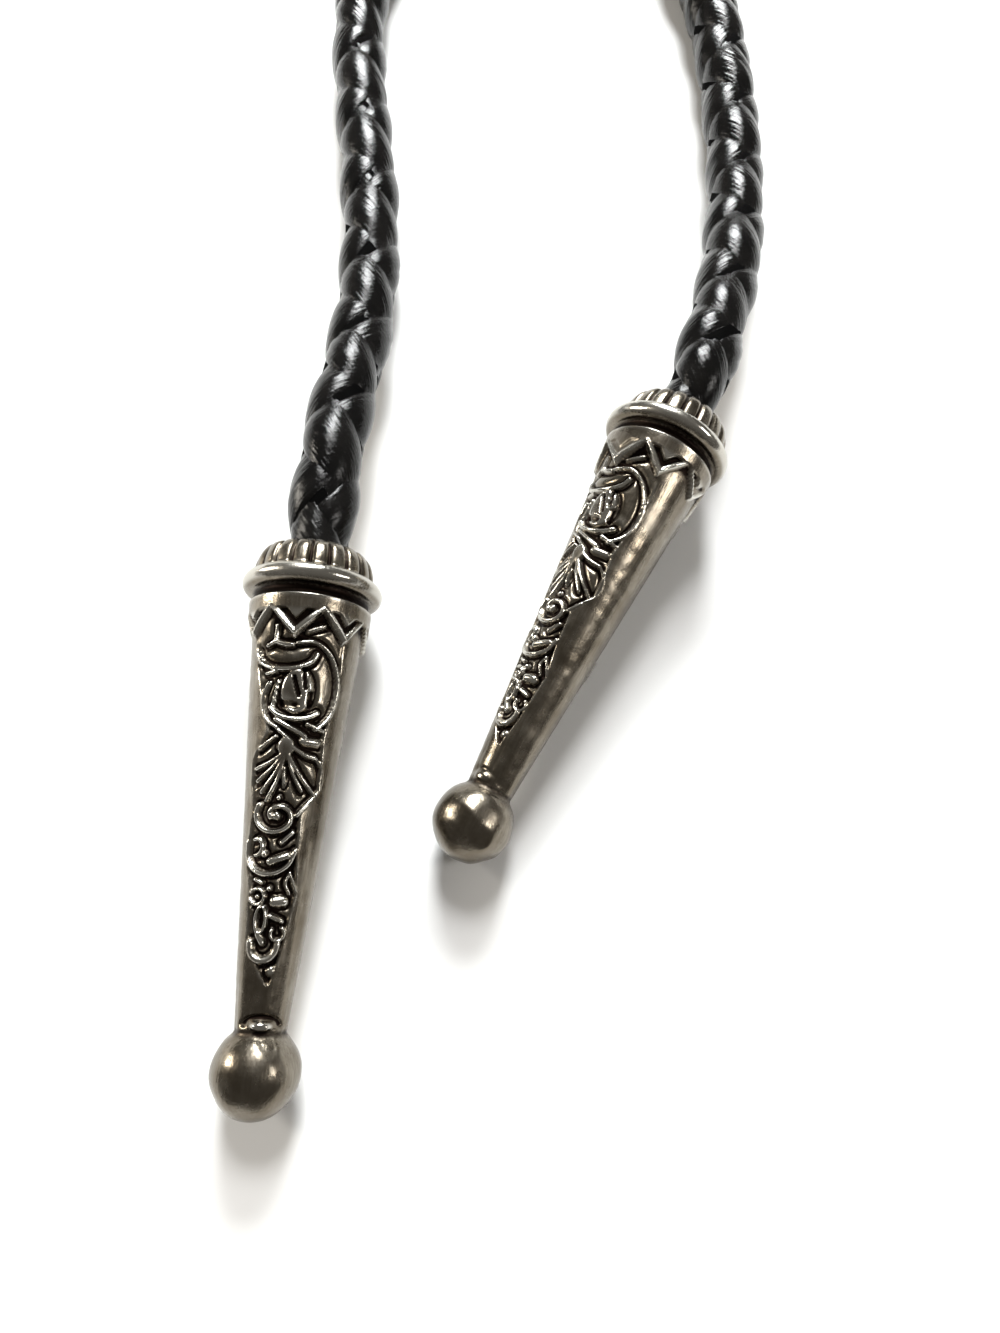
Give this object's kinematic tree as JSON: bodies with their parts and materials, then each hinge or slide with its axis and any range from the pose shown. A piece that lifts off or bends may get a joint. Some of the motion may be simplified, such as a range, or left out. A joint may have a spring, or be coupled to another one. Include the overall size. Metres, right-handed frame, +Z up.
{
  "type": "bolo tie",
  "caption": "Braided leather bolo tie with an oval slide, a neck loop and cast ball-ended metal tips with a zigzag band and scroll relief.",
  "frame": {"origin": "middle of the slide's flat back, on the surface that the tie lies on", "axes": "+Y along the tie, from the tips towards the far end of the neck loop; +X to the right seen from above with the tips nearest; +Z up, out of the slide's domed front"},
  "size_m": [0.1586, 0.435, 0.013],
  "materials": {
    "antique_silver": "antiqued silver plate on a casting: soft gloss on the high parts, nearly black in the recesses",
    "braided_leather": "glossy black leather, four strands braided round"
  },
  "bodies": {
    "root": {"slide": "antique_silver", "neck_loop": "braided_leather", "left_tip": "antique_silver", "right_tip": "antique_silver", "left_free_end": "braided_leather", "right_free_end": "braided_leather"}
  },
  "joints": []
}
